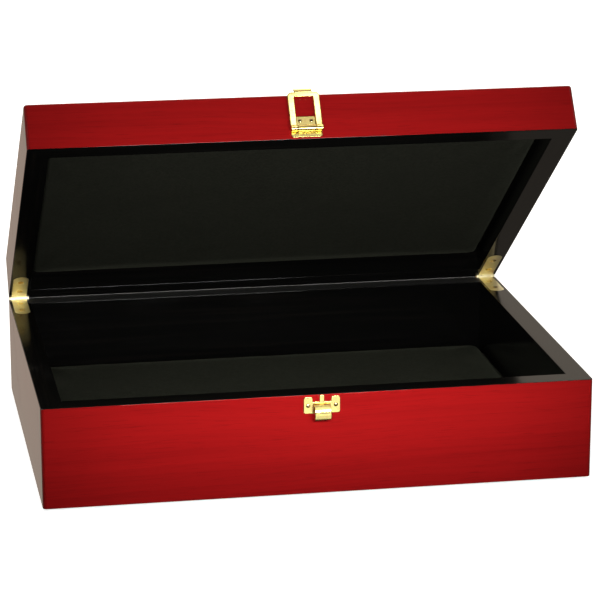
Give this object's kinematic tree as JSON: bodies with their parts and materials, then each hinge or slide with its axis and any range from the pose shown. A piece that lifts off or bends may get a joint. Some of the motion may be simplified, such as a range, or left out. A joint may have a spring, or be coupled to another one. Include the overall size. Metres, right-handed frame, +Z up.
{
  "type": "hinged presentation box",
  "caption": "Rectangular hinged presentation box in red lacquered wood with a padded black velour lining, side-rail hinges and a swing hasp.",
  "frame": {"origin": "centre of the underside of the base", "axes": "+X to the right along the front, +Y to the rear, +Z up; the lid stands open at 36.4 degrees"},
  "size_m": [0.28, 0.2232, 0.1968],
  "materials": {
    "rosewood_lacquer": "rosewood red under a deep gloss lacquer; rims and inner faces are black gloss",
    "bare_board": "raw fibreboard",
    "velour": "short black pile",
    "lining_foam": "open-cell upholstery foam",
    "lining_card": "grey board",
    "underside_felt": "pressed felt",
    "polished_brass": "polished and lacquered",
    "hinge_brass": "polished",
    "brass_fasteners": "polished"
  },
  "bodies": {
    "base": {"base_front_wall": "rosewood_lacquer", "base_rear_wall": "rosewood_lacquer", "base_left_wall": "rosewood_lacquer", "base_right_wall": "rosewood_lacquer", "base_bottom_board": "bare_board", "base_felt": "underside_felt", "floor_card": "lining_card", "floor_foam": "lining_foam", "floor_velour": "velour", "catch_plate": "polished_brass", "catch_nails": "brass_fasteners", "hinge_left_base_leaf": "hinge_brass", "hinge_left_pin": "brass_fasteners", "hinge_left_base_screws": "brass_fasteners", "hinge_right_base_leaf": "hinge_brass", "hinge_right_pin": "brass_fasteners", "hinge_right_base_screws": "brass_fasteners"},
    "lid": {"lid_front_wall": "rosewood_lacquer", "lid_rear_wall": "rosewood_lacquer", "lid_left_wall": "rosewood_lacquer", "lid_right_wall": "rosewood_lacquer", "lid_top_board": "rosewood_lacquer", "lid_card": "lining_card", "lid_foam": "lining_foam", "lid_velour": "velour", "hasp_plate": "polished_brass", "hasp_nails": "brass_fasteners", "hasp_pin": "brass_fasteners", "hinge_left_lid_leaf": "hinge_brass", "hinge_left_lid_screws": "brass_fasteners", "hinge_right_lid_leaf": "hinge_brass", "hinge_right_lid_screws": "brass_fasteners"},
    "hasp": {"hasp_loop": "polished_brass"}
  },
  "joints": [
    {"name": "lid_hinge", "type": "hinge", "parent": "base", "child": "lid", "pos_m": [0, 0.10215, 0.0531], "axis": [-1, 0, 0], "range_deg": [-36.4, 58.6]},
    {"name": "hasp_swing", "type": "hinge", "parent": "lid", "child": "hasp", "pos_m": [0, -0.06129, 0.17981], "axis": [1, 0, 0], "range_deg": [0, 180]}
  ]
}
